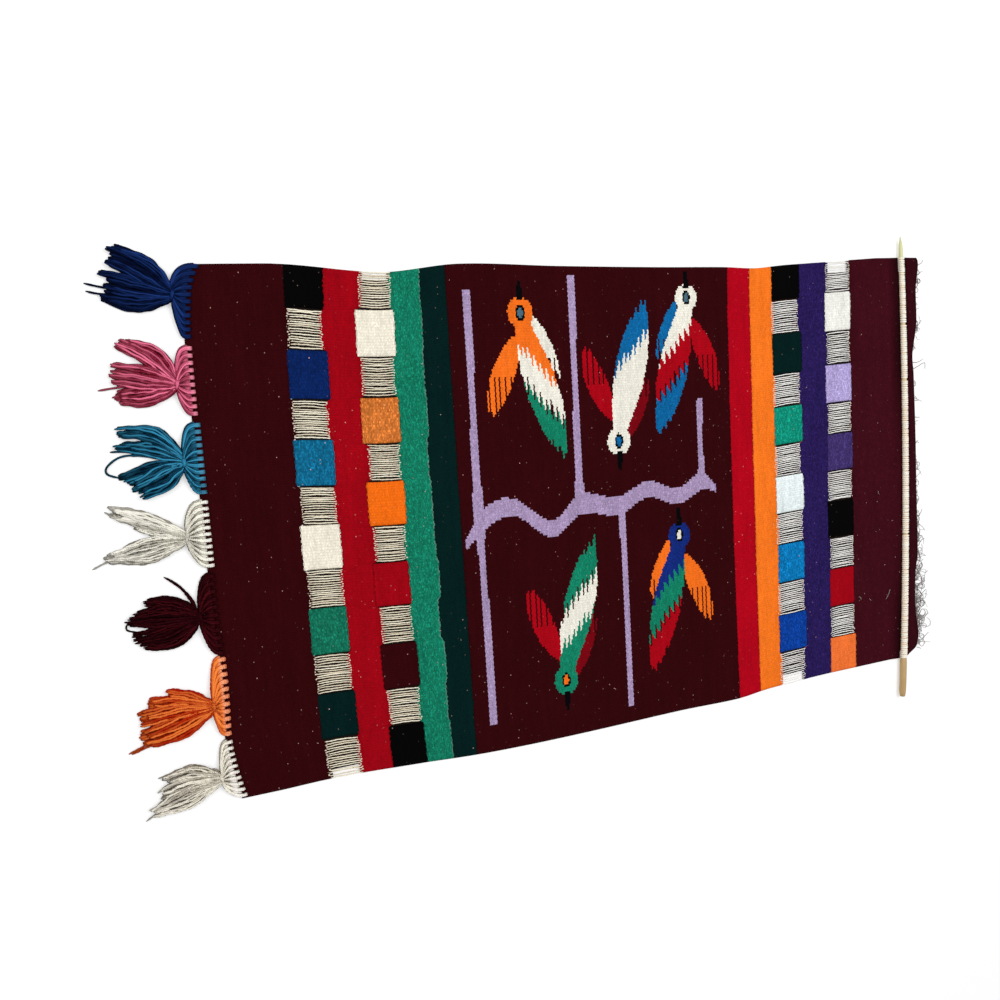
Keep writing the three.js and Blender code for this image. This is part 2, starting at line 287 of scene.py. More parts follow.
def clothSpot(u, v):  # where a point u along and v across the weave lies on the ground
    wide = cloth["wide"]
    near = through(cloth["selvages"], u, 1)
    far = through(cloth["selvages"], u, 2)
    y = near + (wide + far - near) * v / wide
    slotEnd = rod["middle"][0] + rod["slotHalf"]
    row = cellsAcross * (wide - v) / wide
    seam = min(max(round(row), 1), cellsAcross - 1)
    taller = between(cloth["sway"], u, 3)
    pastSeam = row - seam + cloth["stepShift"] * taller * (-1) ** seam
    past = 0.5 + 0.5 * math.tanh(cloth["stepSharp"] * pastSeam)
    sway = [(x, rows[seam - 1] + (rows[seam] - rows[seam - 1]) * past) for x, rows in swayRows]
    x = u + through(cloth["tasselEnd"], v) * max(0.0, 1 - u / cloth["tasselEndReach"]) ** 2
    x += through(cloth["rodEnd"], v) * max(0.0, (u - slotEnd) / (cloth["long"] - slotEnd))
    bow = math.sin(math.pi * min(max(v / wide, 0), 1)) ** cloth["bowRound"]
    x -= cloth["bowDepth"] * between(cloth["bow"], u) * bow
    x += between(sway, u)
    crowd = through(cloth["crowd"], wide - v)
    y += crowd * smooth(u / cloth["crowdIn"]) * smooth((cloth["crowdEnd"] - u) / cloth["crowdOut"])
    edgeIn = cloth["edgeIn"]
    y += taller * math.cos(math.pi * row) * smooth((wide - v) / edgeIn) * smooth(v / edgeIn)
    follow = smooth((u - cloth["followRod"]) / cloth["followIn"])
    x += rodSwing(y) * follow * (1 - smooth((u - slotEnd) / cloth["followOut"]))
    return x, y


def clothHeight(u, v):  # the underside's height: low soft swells, and a rise on to the rod
    along, across = cloth["swellAlong"], cloth["swellAcross"]
    wave = math.sin(u / along[0] + v / across[0] + cloth["swellFrom"])
    wave *= math.cos(v / across[1] - u / along[1])
    away = max(0.0, abs(u - rod["middle"][0]) - rod["slotHalf"])
    return cloth["swell"] * (1 + wave) + cloth["rise"] * (1 - smooth(away / cloth["riseLong"]))


# The panel: a chart of feathered birds on stems, one square to each rib
panel = {"from": 301.9, "to": 702.7, "turn": 0.42}  # how far a yarn's edge swings at each rib it turns round
birdYarns = {
    "white": shown(236, 233, 220), "red": shown(168, 6, 22), "blue": shown(14, 100, 158),
    "green": shown(20, 128, 98), "orange": shown(244, 112, 30), "royal": shown(20, 42, 120),
    "black": shown(6, 6, 9), "lilac": shown(168, 146, 184), "darkRed": shown(120, 6, 18),
    "slate": shown(74, 104, 120),
}
mixedYarns = ("blue", "green", "lilac", "royal")
mixedMark = 0.78
# head place, way the tail runs, side the wing is on, lean of the tail, yarns from head to tail
birds = [
    {"head": (396, 538), "tail": -1, "side": -1, "lean": 52, "yarns": ["orange", "white", "green"],
     "wing": "orange", "breast": "white", "eye": "slate"},
    {"head": (526, 376), "tail": 1, "side": -1, "lean": 46, "yarns": ["white", "white", "blue"],
     "wing": "red", "breast": "darkRed", "eye": "blue"},
    {"head": (636, 556), "tail": -1, "side": 1, "lean": 50, "yarns": ["white", "red", "blue"],
     "wing": "red", "breast": "blue", "eye": "slate"},
    {"head": (432, 74), "tail": 1, "side": -1, "lean": 50, "yarns": ["green", "white", "green"],
     "wing": "red", "breast": "darkRed", "eye": "orange"},
    {"head": (612, 240), "tail": -1, "side": 1, "lean": 50, "yarns": ["royal", "green", "red"],
     "wing": "orange", "breast": "orange", "eye": "white"},
]
birdShape = {
    "long": 186, "headRadius": 17, "headLong": 1.08,
    "eyeRing": (10, 6), "eye": (6.8, 3.4),  # half sizes along and across
    "beakLong": 22, "beakIn": 3, "beakHalf": 4.4, "beakTaper": 0.09,
    "halves": [(0, 15), (14, 11), (34, 15), (66, 22), (104, 23), (136, 18), (164, 10), (186, 3)],
    "toothEvery": 7.6, "toothLong": 24, "slitWide": 2.1, "slitLong": 26, "tailSlitLong": 40, "slant": 1.25,
    "neck": 6, "bands": (46, 104), "tailExtra": 14,
    "wingFrom": 26, "wingLong": 96, "wingOut": (5, 40), "wingHalf": 16, "wingTip": 1.12, "wingSlit": 0.5,
    "breastFrom": 4, "breastLong": 84, "breastOut": (17, 30), "breastHalf": 12, "breastSlit": 0.6,
}
stems = [  # x, from y, to y, half width
    (326, 34, 566, 4.6), (466, 290, 588, 4.5), (526, 22, 290, 4.2), (652, 300, 424, 4.2),
]
stemShape = {"wave": 0.9, "waveLong": 70, "thickAt": 300, "thick": 2.5, "thickReach": 60}
branch = [  # x, y, half width
    (306, 262, 7), (334, 292, 13), (372, 302, 11), (424, 270, 11), (466, 298, 13), (520, 290, 12),
    (566, 308, 11), (612, 294, 11), (652, 312, 12), (674, 300, 5),
]


def inOval(run, out, half):
    return (run / half[0]) ** 2 + (out / half[1]) ** 2 < 1


def birdYarn(bird, x, y):  # the yarn of one bird at a point, or None beside it
    shape = birdShape
    long = shape["long"]
    radius = shape["headRadius"]
    run = (y - bird["head"][1]) * bird["tail"]
    out = (x - bird["head"][0]) * bird["side"]
    if inOval(run, out, shape["eyeRing"]):
        return bird["eye"] if inOval(run, out, shape["eye"]) else "black"
    beakHalf = shape["beakHalf"] + (run + radius) * shape["beakTaper"]
    if -radius - shape["beakLong"] < run < -radius + shape["beakIn"] and abs(out) < beakHalf:
        return "black"
    tooth = 1 - (x / shape["toothEvery"]) % 1.0
    slit = tooth * shape["toothEvery"] < shape["slitWide"]
    drift = max(run - shape["neck"], 0) / long
    across = out + bird["lean"] * drift ** 0.95
    stagger = run + shape["slant"] * across
    if (run / shape["headLong"]) ** 2 + out * out < radius * radius:
        return bird["yarns"][0]
    if 0 < run < long + shape["tailExtra"] and abs(across) < between(shape["halves"], run):
        if stagger + shape["toothLong"] * tooth < long:
            reach = stagger - shape["toothLong"] * (1 - tooth)
            for yarn, edge in zip(bird["yarns"], shape["bands"]):
                if reach < edge:
                    isSlit = slit and yarn != bird["yarns"][0] and edge - shape["slitLong"] < reach
                    return None if isSlit else yarn
            return None if slit and reach > long - shape["tailSlitLong"] else bird["yarns"][2]
    lift = (run - shape["wingFrom"]) / shape["wingLong"]  # the wing stands out to one side and points back
    if 0 < lift < shape["wingTip"]:
        away = abs(out - shape["wingOut"][0] - shape["wingOut"][1] * lift ** 0.8)
        half = shape["wingHalf"] * math.sin(math.pi * min(lift, 1)) ** 0.55
        if away < half and lift + 0.2 * tooth < 1.1:
            return None if slit and lift > shape["wingSlit"] else bird["wing"]
    dip = (run - shape["breastFrom"]) / shape["breastLong"]  # the breast is a short leaf on the other side
    if 0 < dip < 1:
        away = abs(out + shape["breastOut"][0] + shape["breastOut"][1] * dip)
        if away < shape["breastHalf"] * math.sin(math.pi * dip) ** 0.7 and dip + 0.25 * tooth < 1:
            return None if slit and dip > shape["breastSlit"] else bird["breast"]
    return None


def chartYarn(x, y):
    for bird in birds:
        yarn = birdYarn(bird, x, y)
        if yarn:
            return yarn
    for at, low, high, half in stems:
        away = abs(x - at - stemShape["wave"] * math.sin(y / stemShape["waveLong"]))
        thicker = smooth(1 - abs(y - stemShape["thickAt"]) / stemShape["thickReach"])
        if low < y < high and away < half + stemShape["thick"] * thicker:
            return "lilac"
    if branch[0][0] < x < branch[-1][0]:
        if abs(y - through(branch, x, 1)) < through(branch, x, 2):
            return "lilac"
    return None


def heathered(red, green, blue, share=1.0):  # alpha marks how mixed the fibres are, 1 plain and 0.5 most
    return shown(red, green, blue)[:3] + (1 - share / 2,)


yarns = {  # every dyed yarn of the stripes and the cells
    "wine": shown(50, 6, 10), "plum": heathered(62, 12, 23, 0.3), "crimson": shown(156, 5, 20),
    "red": shown(176, 5, 26), "orange": shown(249, 120, 33), "tangerine": shown(244, 109, 20),
    "ochre": heathered(207, 116, 51), "cream": shown(239, 232, 214), "ice": shown(234, 244, 244),
    "black": shown(4, 4, 4), "bottle": shown(4, 30, 30), "jade": heathered(20, 122, 95),
    "fern": heathered(21, 111, 86), "mint": heathered(17, 144, 120), "sea": heathered(17, 101, 138),
    "sky": heathered(12, 120, 184), "azure": heathered(12, 62, 152), "royal": heathered(11, 36, 92, 0.55),
    "violet": heathered(40, 27, 84), "mauve": heathered(66, 51, 108), "lilac": heathered(178, 164, 215, 0.6),
    "chalk": shown(238, 237, 230), "coral": shown(246, 118, 54),
}
bare = (0, 0, 0, 0)
stripes = [  # from x, yarn
    (0, "wine"), (152.8, "crimson"), (196.6, "red"), (233.6, "jade"), (271.3, "bottle"), (301.9, "wine"),
    (702.7, "red"), (738.4, "orange"), (817.4, "violet"), (908.2, "plum"),
]
columns = [  # each column of cells, from the far selvage to the near one, None where the warp is bare
    {"from": 116.1, "to": 152.8,
     "cells": ["black", None, "royal", None, "sea", None, "cream", None, "fern", None, "bottle", None]},
    {"from": 196.6, "to": 233.6,
     "cells": [None, "cream", None, "ochre", None, "tangerine", None, "crimson", None, "wine", None,
               "black"]},
    {"from": 776.7, "to": 817.4,
     "cells": ["black", None, "bottle", None, "mint", None, "ice", None, "sky", None, "azure", None]},
    {"from": 868.0, "to": 908.2,
     "cells": [None, "chalk", None, "lilac", None, "mauve", None, "black", None, "crimson", None, "coral"]},
]
weave = {
    "grain": 1.4,  # how far one pick shows along the cloth
    # the roundness of ribs and picks makes the bump, and also paints shade in the grooves and light on the
    # crowns
    "round": (0.35, 0.65), "middle": 0.66, "grooveShade": 0.3,  # share of a rib's and a pick's roundness
    # the joints are darkened with painted shade, as they lie a little deeper
    "drift": (0.035, 1.6), "jointHalf": 0.9, "joint": 0.35,  # joints wander and lie a little deeper
    # how far shade goes up and down: by the pick and by the fibre, in plain yarn and in mixed
    "pick": (0.08, 0.22), "fibre": (0.2, 0.85),
    "cloud": (0.012, 0.25), "streak": ((0.09, 0.011, 0), 0.35), "fine": ((0.33, 0.03, 0), 0.26),
    "hair": (1.05, 0.48, 0), "fleck": (1.05, 0.8, 0), "fleckRate": 0.003, "fleckColour": shown(226, 184, 172),
    # ends of bare warps show as dots beside the windows: nearest, how much further, half size
    "dot": (2.2, 2.0, 0.95), "dotHalf": (0.27, 0.43), "dotColour": shown(235, 225, 205),
    "greensMeet": 270.6, "greensHalf": 0.6, "greensColour": shown(150, 176, 160),
    # shade where the cloth dives at the rod: how much before it and past it, and where it starts
    "before": (0.1, 0.5), "beforeFrom": 24, "beforeLong": 13,
    "past": (0.2, 0.5), "pastFrom": 6, "pastLong": 5,
    "shadeMiddle": 245, "shadeReach": 150, "shadeLeast": 0.35,
    "rough": (0.88, 0.08), "gloss": 0.03, "bump": (0.55, 0.4),  # the bump's strength and height
}
slots = 16  # even stops, so that a ramp's table lands on each of them


def chosenYarn(paint, at, chosen):  # the colour and the fibre mark of the yarn at a whole number
    stops = [(i / slots, yarns[yarn] if yarn else bare) for i, yarn in enumerate(chosen)]
    read = (at + 0.5) / slots
    return paint.ramp(read, stops, "CONSTANT"), paint.ramp(read, stops, "CONSTANT", 1)


def wovenWool():
    paint = Paint("wovenWool")
    place = paint.add("UVMap", {"uv_map": "weave"})
    along, across, _ = paint.parts(place)
    rib = across / ribPitch
    ribAt = rib.floor()
    ribPart = rib - ribAt
    ribChance = paint.add("TexWhiteNoise", {"noise_dimensions": "1D"}, {"W": ribAt + 0.5})
    offset = (ribAt * 0.5).part() + ribChance * 0.4
    grain = along / weave["grain"] + offset
    grainAt = grain.floor()
    grainPart = grain - grainAt
    drift = paint.noise(place, weave["drift"][0], 2.0) - 0.5
    stepped = (grainAt + 0.5 - offset) * weave["grain"] + drift * weave["drift"][1]
    pick = paint.add("CombineXYZ", None, {0: ribAt, 1: grainAt})
    chanceX, chanceY, chanceZ = paint.parts(paint.chances(pick, 1))

    count = stepped > stripes[1][0]
    for at, _ in stripes[2:]:
        count = count + (stepped > at)
    colour, kind = chosenYarn(paint, count, [yarn for _, yarn in stripes])
    rowAt = ((cloth["wide"] - across) / cellDeep).floor()
    dots = 0.0
    for column in columns:
        cellColour, cellKind = chosenYarn(paint, rowAt, column["cells"])
        filled = cellKind > 0.25
        inside = (stepped > column["from"]) * (stepped < column["to"]) * filled
        colour = paint.mix(inside, colour, cellColour)
        kind = kind + (cellKind - kind) * inside
        away = weave["dot"][0] + weave["dot"][1] * ribChance
        near = abs(along - column["from"] + away).least(abs(along - column["to"] - away))
        dots = (near < weave["dot"][2]) * (1 - filled) + dots
    chart = paint.add("Attribute", {"attribute_name": "birds"})
    charted = paint.add("Attribute", {"attribute_name": "birds"}, None, 3)
    isBird = charted > 0.25
    colour = paint.mix(isBird, colour, chart)
    kind = kind + (charted - kind) * isBird

    joints = [at for at, _ in stripes[1:]] + [columns[k]["from"] for k in (0, 2, 3)]
    nearest = abs(stepped - joints[0])
    for joint in joints[1:]:
        nearest = nearest.least(abs(stepped - joint))
    # painted shade in the joints
    joint = (nearest < weave["jointHalf"]) * weave["joint"]

    ribRound = 1 - (ribPart * 2 - 1) ** 2.0
    grainRound = 1 - (grainPart * 2 - 1) ** 2.0
    rounded = ribRound * weave["round"][0] + grainRound * weave["round"][1]
    mixed = (2 - 2 * kind).held()
    spread, fibre = (plain + (most - plain) * mixed for plain, most in (weave["pick"], weave["fibre"]))
    cloudy = paint.noise(place, weave["cloud"][0], 3.0) - 0.5
    streaky = paint.noise(paint.stretched(place, weave["streak"][0]), 1.0) - 0.5
    fine = paint.noise(paint.stretched(place, weave["fine"][0]), 1.0) - 0.5
    light = 1 + spread * (2 * chanceZ - 1) + weave["fine"][1] * fine
    light = light + weave["cloud"][1] * cloudy + weave["streak"][1] * streaky
    hairs = paint.chanceSquares(place, weave["hair"])
    light = light * (1 + fibre * (hairs ** 4.0 - 0.2))
    # painted shade in the grooves between ribs and picks and in the joints, painted light on the crowns
    light = light * (1 + weave["grooveShade"] * (rounded - weave["middle"])) * (1 - joint)
    # painted shade where the cloth dives beside the rod, on both sides of it, more before it towards the
    # selvages
    beside = along - rod["middle"][0]
    ends = (abs(across - weave["shadeMiddle"]) / weave["shadeReach"] - weave["shadeLeast"]).held()
    before = (weave["before"][0] + weave["before"][1] * ends * (beside < 0))
    before = before * ((beside + weave["beforeFrom"]) / weave["beforeLong"]).held()
    close = (1 - (beside - weave["pastFrom"]) / weave["pastLong"]).held()
    light = light * (1 - before) * (1 - (beside > 0) * (weave["past"][0] + weave["past"][1] * close))
    colour = paint.scaled(colour, light)
    fleckX, fleckY, _ = paint.parts(paint.chanceSquares(place, weave["fleck"], 1))
    fleck = (fleckX < weave["fleckRate"]) * (0.05 + 0.75 * fleckY ** 6.0)
    colour = paint.mix(fleck, colour, weave["fleckColour"])
    pale = (abs(stepped - weave["greensMeet"]) < weave["greensHalf"]) * (0.1 + 0.25 * chanceX)
    colour = paint.mix(pale, colour, weave["greensColour"])
    rowPart = (across / cellDeep).part()
    ribHalf, rowHalf = weave["dotHalf"]
    dot = dots * (abs(ribPart - 0.5) < ribHalf) * (chanceY > 0.2) * (abs(rowPart - 0.5) < rowHalf)
    colour = paint.mix(dot, colour, weave["dotColour"])

    rough = weave["rough"][0] + weave["rough"][1] * chanceZ
    strength, high = weave["bump"]
    return paint.finish({"Base Color": colour, "Roughness": rough, "Specular IOR Level": weave["gloss"]},
                        rounded + 0.3 * chanceX, strength, high * mm)


def makeCloth():
    marks = {at for at, _ in stripes} | {c[side] for c in columns for side in ("from", "to")}
    marks = sorted(marks | {cloth["beforeRod"][0]})
    uLines = [0.0]
    for start, end in zip(marks, marks[1:]):
        steps = cloth["plainSteps"]
        if start == 0 or any(c["from"] == start for c in columns):
            steps = cloth["columnSteps"]
        if start == panel["from"]:
            steps = cloth["panelSteps"]
        uLines += [start + (end - start) * (i + 1) / steps for i in range(steps)]
    slotFrom = rod["middle"][0] - rod["slotHalf"]
    slotTo = rod["middle"][0] + rod["slotHalf"]
    uLines += [cloth["beforeRod"][1], slotFrom, slotTo, cloth["afterRod"], cloth["long"]]
    ribs = cloth["ribs"]

    bm = bmesh.new()
    bmesh.ops.create_grid(bm, x_segments=len(uLines) - 1, y_segments=ribs, size=1)
    uvLayer = bm.loops.layers.uv.new("weave")
    chartLayer = bm.loops.layers.float_color.new("birds")
    spots = []
    for vert in bm.verts:
        u = uLines[round((vert.co.x + 1) / 2 * (len(uLines) - 1))]
        v = round((vert.co.y + 1) / 2 * ribs) * ribPitch
        spots.append((u, v))
        x, y = clothSpot(u, v)
        if panel["from"] < u < panel["to"]:
            x += panel["turn"] * (-1) ** round(v / ribPitch)
        vert.co = placed(x, y, clothHeight(u, v))
    bareFaces = []
    for face in bm.faces:
        corners = [spots[loop.vert.index] for loop in face.loops]
        u = sum(c[0] for c in corners) / 4
        v = sum(c[1] for c in corners) / 4
        yarn = chartYarn(u, v) if panel["from"] < u < panel["to"] else None
        colour = birdYarns[yarn] if yarn else bare
        if yarn in mixedYarns:
            colour = colour[:3] + (mixedMark,)
        for loop, corner in zip(face.loops, corners):
            loop[uvLayer].uv = corner
            loop[chartLayer] = colour
        row = int((cloth["wide"] - v) / cellDeep)
        for column in columns:
            if column["from"] < u < column["to"] and column["cells"][row] is None:
                bareFaces.append(face)
        if slotFrom < u < slotTo:
            bareFaces.append(face)
    bmesh.ops.delete(bm, geom=bareFaces, context="FACES")

    raised = bmesh.ops.extrude_face_region(bm, geom=bm.faces[:], use_keep_orig=True)["geom"]
    top = [g for g in raised if isinstance(g, bmesh.types.BMVert)]
    bmesh.ops.translate(bm, vec=(0, 0, cloth["thick"] * mm), verts=top)
    bmesh.ops.recalc_face_normals(bm, faces=bm.faces[:])
    upper = set(top)
    rims = set()
    for edge in bm.edges:
        a, b = edge.verts
        if (a in upper) != (b in upper):
            rims.update((a, b))
    for vert in rims:
        vert.co.z += (-cloth["rim"] if vert in upper else cloth["rim"]) * mm
    for face in bm.faces:
        face.smooth = True
    return finished("wovenCloth", bm, wovenWool())


def softRun(controls, step):  # evenly spaced points on a smooth curve through the controls
    points = []
    last = len(controls) - 1
    for i in range(last):
        before, a, b, after = (controls[min(max(k, 0), last)] for k in (i - 1, i, i + 1, i + 2))
        for k in range(10):
            t = k / 10
            points.append(0.5 * (2 * a + (b - before) * t + (2 * before - 5 * a + 4 * b - after) * t * t
                                 + (3 * a - before - 3 * b + after) * t ** 3))
    points.append(controls[last])
    even = [points[0]]
    travelled = 0.0
    total = sum((b - a).length for a, b in zip(points, points[1:]))
    count = max(3, round(total / step))
    target = total / count
    for a, b in zip(points, points[1:]):
        long = (b - a).length
        while travelled + long >= target * len(even) and len(even) < count:
            even.append(a.lerp(b, (target * len(even) - travelled) / max(long, 1e-9)))
        travelled += long
    even.append(points[-1])
    return even


def profileCurve(name, radius, pinch, sides):  # two plies side by side make a pinched outline
    curve = bpy.data.curves.new(name, "CURVE")
    curve.dimensions = "2D"
    spline = curve.splines.new("POLY")
    spline.points.add(sides - 1)
    spline.use_cyclic_u = True
    for i, point in enumerate(spline.points):
        turn = 2 * math.pi * i / sides
        reach = radius * (1 - pinch * math.sin(turn) ** 2) * mm
        point.co = (reach * math.cos(turn), reach * math.sin(turn), 0, 1)
    return linked(name, curve)


def strandMesh(name, runs, radius, material, pinch=0.0, twist=0.0, sides=6):
    # round or two-ply yarns: a run is a tone and a list of (place in millimetres, share of the full radius)
    profile = profileCurve(name + "Profile", radius, pinch, sides)
    bm = bmesh.new()
    layer = bm.verts.layers.float_color.new("yarn")
    for tone in sorted({run[0] for run in runs}):
        curve = bpy.data.curves.new(name, "CURVE")
        curve.dimensions = "3D"
        curve.twist_mode = "MINIMUM"
        curve.bevel_mode = "OBJECT"
        curve.bevel_object = profile
        curve.use_fill_caps = True
        for run in [points for its, points in runs if its == tone]:
            spline = curve.splines.new("POLY")
            spline.points.add(len(run) - 1)
            turned = run[0][0].y
            before = run[0][0]
            for point, (place, share) in zip(spline.points, run):
                point.co = (*placed(*place), 1)
                point.radius = share
                if twist:
                    turned += 2 * math.pi * (place - before).length / twist
                    point.tilt = turned
                before = place
        drawn = linked(name + "Drawn", curve)
        bpy.context.view_layer.update()
        graph = bpy.context.evaluated_depsgraph_get()
        swept = bpy.data.meshes.new_from_object(drawn.evaluated_get(graph))
        first = len(bm.verts)
        bm.from_mesh(swept)
        bm.verts.ensure_lookup_table()
        for vert in bm.verts[first:]:
            vert[layer] = (0, tone, 0, 1)
        bpy.data.objects.remove(drawn)
        bpy.data.meshes.remove(swept)
    bpy.data.objects.remove(profile)
    bmesh.ops.remove_doubles(bm, verts=bm.verts[:], dist=0.01 * mm)
    bmesh.ops.recalc_face_normals(bm, faces=bm.faces[:])
    for face in bm.faces:
        face.smooth = True
    bm.normal_update()
    # how far each point faces up, which the yarn paints turn into painted light on top and painted shade at
    # the sides
    for vert in bm.verts:  # how far each point faces up
        vert[layer] = (0.5 + 0.5 * vert.normal.z, vert[layer][1], 0, 1)
    return finished(name, bm, material)


yarnLook = {  # places and lengths along x are in millimetres, shares of the light or of a colour follow
    "cloud": 90.0, "cloudShare": 0.45, "fibreShare": 0.4, "least": 0.12, "byTone": 0.95, "buriedLeast": 0.35,
    "edge": (-12, 12), "stitch": (0.5, 3), "stitchShare": 0.85, "endShare": 0.8, "endRound": 1.5,
    "rough": (0.8, 0.1), "bump": (0.6, 0.3),  # the bump's strength and height
}


def yarnPaint(name, light, deep, sharp=3.0, buried=None, stitch=None, end=None, fine=900.0, shine=0.12,
              lit=0.22):
    # painted light on the top of each strand and painted shade deep in the grooves between; a stitch is
    # the colour over the cloth's edge; an end is the light and the shaded colour at the low x end, where it
    # starts and how long it takes
    look = yarnLook
    paint = Paint(name)
    place = paint.add("TexCoord", None, None, 3)
    x, _, z = paint.parts(place)

    def past(start, over):  # from 0 at a place along x to 1 further on, or back if over is less than 0
        return ((x - placed(start, 0).x) / (over * mm)).held()

    upward, tone, _ = paint.parts(paint.add("Attribute", {"attribute_name": "yarn"}))
    cloudy = paint.noise(place, look["cloud"], 3.0)
    fibres = paint.noise(place, fine, 3.0)
    # painted light and shade: each strand is painted light where it faces up and shaded at its sides, scaled
    # by its random tone
    top = ((upward - 0.5) * 2).most(0.0)
    shade = top ** sharp * (look["least"] + look["byTone"] * tone)
    if buried:  # strands that lie low are in the shade of those above
        low, high = buried
        least = look["buriedLeast"]
        shade = shade * (least + (1 - least) * ((z - low * mm) / ((high - low) * mm)).held())
    shade = (shade + look["cloudShare"] * (cloudy - 0.5) + look["fibreShare"] * (fibres - 0.5)).held()
    if stitch:  # yarn near the edge lies higher and takes more light
        shade = (shade + lit * past(*look["edge"]) * top).least(1.0)
    colour = paint.mix(shade, deep, light)
    # painted highlight: the up-facing tops of the stitches over the edge take an even stitch colour in place
    # of the shaded mix
    if stitch:  # the stitches over the edge are even and light
        colour = paint.mix(past(*look["stitch"]) * top * look["stitchShare"], colour, stitch)
    if end:
        endLight, endShaded, start, over = end
        fade = past(start, -over) ** look["endRound"]
        colour = paint.mix(fade * look["endShare"], colour, paint.mix(shade, endShaded, endLight))
    rough = look["rough"][0] + look["rough"][1] * fibres
    strength, high = look["bump"]
    return paint.finish({"Base Color": colour, "Roughness": rough, "Specular IOR Level": shine},
                        fibres, strength, high * mm)


# Bare warps: in the windows, and over and under the rod
warps = {
    "radius": 0.78, "perWindow": 16, "points": 16,
    "gap": (0.86, 1.16), "pull": 0.85, "lean": 0.6, "thick": (0.84, 1.12), "high": 1.2,  # ranges of chance
    "left": 0.95, "right": 0.86,  # thickness in the columns at either end
    "into": 2.6, "hidden": 2.0,  # how far an end goes into the weave before it dives, and as it does
    "selvage": 2.2, "inset": 0.8,
    "wander": 0.14, "lowest": 1.45, "dive": 0.9, "start": 0.35, "rise": 1.4,  # heights
    "swell": (0.9, 0.16, 0.22), "endShare": 0.75,  # thickness: least, by waves, at the middle, at the ends
    "wanderEvery": 19, "waveEvery": 41, "riseSharp": 2.2, "pullRound": 1.5, "tones": (0.5, 0.75, 1.0),
}
rodWarp = {
    "radius": 1.6, "points": 13, "past": 0.8,  # past the slot's edge
    "under": 0.03, "aside": 0.5, "thick": (0.86, 1.06), "underThick": 0.5,  # chances
    "edge": 1.6, "lowest": 0.8,  # heights
    "hug": 0.84, "wide": 1.12, "tones": (0.6, 0.8, 1.0),  # how near the rod's middle, how far round it
}


def windowWarps():
    chance = random.Random(21)
    last = warps["points"] - 1
    runs = []
    for column, row in [(c, r) for c in columns for r in range(cellsAcross) if not c["cells"][r]]:
        gaps = [chance.uniform(*warps["gap"]) for _ in range(warps["perWindow"] + 1)]
        v = cloth["wide"] - (row + 1) * cellDeep
        span = cellDeep
        if row in (0, cellsAcross - 1):  # the outermost warps make the selvage
            span += warps["selvage"]
        if row == cellsAcross - 1:
            v -= warps["selvage"]
        for k in range(warps["perWindow"]):
            v += span * gaps[k] / sum(gaps)
            at = min(max(v, warps["inset"]), cloth["wide"] - warps["inset"])
            pull = chance.uniform(-warps["pull"], warps["pull"])
            lean = chance.uniform(-warps["lean"], warps["lean"])
            thick = chance.uniform(*warps["thick"])
            thick *= warps["left" if column["to"] < panel["from"] else "right"]
            high = chance.uniform(0, warps["high"])
            turn = chance.uniform(0, fullTurn)
            start = column["from"] - chance.uniform(0, warps["into"])
            end = column["to"] + chance.uniform(0, warps["into"])
            run = []
            for i in range(warps["points"]):
                t = (i - 1) / (last - 2)
                belly = math.sin(math.pi * min(max(t, 0), 1))
                u = start + (end - start) * t
                if i == 0:
                    u = start - warps["hidden"]
                if i == last:
                    u = end + warps["hidden"]
                wander = warps["wander"] * math.sin(t * warps["wanderEvery"] + turn) + lean * (t - 0.5)
                x, y = clothSpot(u, at + pull * belly ** warps["pullRound"] + wander)
                top = cloth["thick"] + warps["start"]
                over = top + (warps["rise"] + high - top) * smooth(belly * warps["riseSharp"])
                isEnd = i in (0, last)
                z = clothHeight(u, at) + (warps["dive"] if isEnd else over)
                least, wave, full = warps["swell"]
                share = thick * (least + wave * math.sin(t * warps["waveEvery"] + turn) + full * belly)
                share *= warps["endShare"] if isEnd else 1
                run.append((Vector((x, y, max(z, warps["lowest"]))), share))
            runs.append((chance.choice(warps["tones"]), run))
    return runs


def rodWarps():  # most warps pass over the rod, one here and there under it
    chance = random.Random(8)
    runs = []
    half = rod["slotHalf"] + rodWarp["past"]
    for k in range(cloth["ribs"]):
        v = (k + 0.5) * ribPitch
        over = chance.random() > rodWarp["under"]
        aside = chance.uniform(-rodWarp["aside"], rodWarp["aside"])
        thick = chance.uniform(*rodWarp["thick"]) if over else rodWarp["underThick"]
        run = []
        for i in range(rodWarp["points"]):
            t = 2 * i / (rodWarp["points"] - 1) - 1
            x, y = clothSpot(rod["middle"][0] + half * t, v)
            radius = rodRadius(y)
            edge = rodWarp["edge"] + clothHeight(rod["middle"][0] + half, v)
            lowest = rodWarp["lowest"]
            if over:  # up round the rod's side, over its top and down
                turn = math.pi / 2 * (1 - t) * rodWarp["wide"] - (rodWarp["wide"] - 1) / 2 * math.pi
                reach = rodWarp["hug"] * radius
                x += reach * math.cos(turn) - half * t
                z = max(rod["lift"] + radius + reach * math.sin(turn), edge)
            else:
                z = edge + (lowest - edge) * math.cos(t * math.pi / 2) ** 0.5
            run.append((Vector((x, y + aside * (1 - t * t), max(z, lowest))), thick))
        runs.append((chance.choice(rodWarp["tones"]) if over else 0.0, run))
    return runs


def rodWood():
    paint = Paint("rodWood")
    place = paint.add("TexCoord", None, None, 3)
    grain = paint.noise(paint.add("Mapping", None, {0: place, "Scale": rod["grain"]}), 1.0, 4.0)
    _, y, _ = paint.parts(place)
    wood = paint.ramp((y - rodLow.y) / (rodHigh.y - rodLow.y), rod["wood"])
    colour = paint.mix(rod["grainShare"] * grain, wood, rod["grainColour"])
    colour = paint.scaled(colour, 0.9 + 0.25 * paint.noise(place, rod["patches"], 2.0))
    return paint.finish({"Base Color": colour, "Roughness": 0.5 + 0.25 * grain, "Specular IOR Level": 0.3},
                        grain, 0.5, 0.3 * mm)


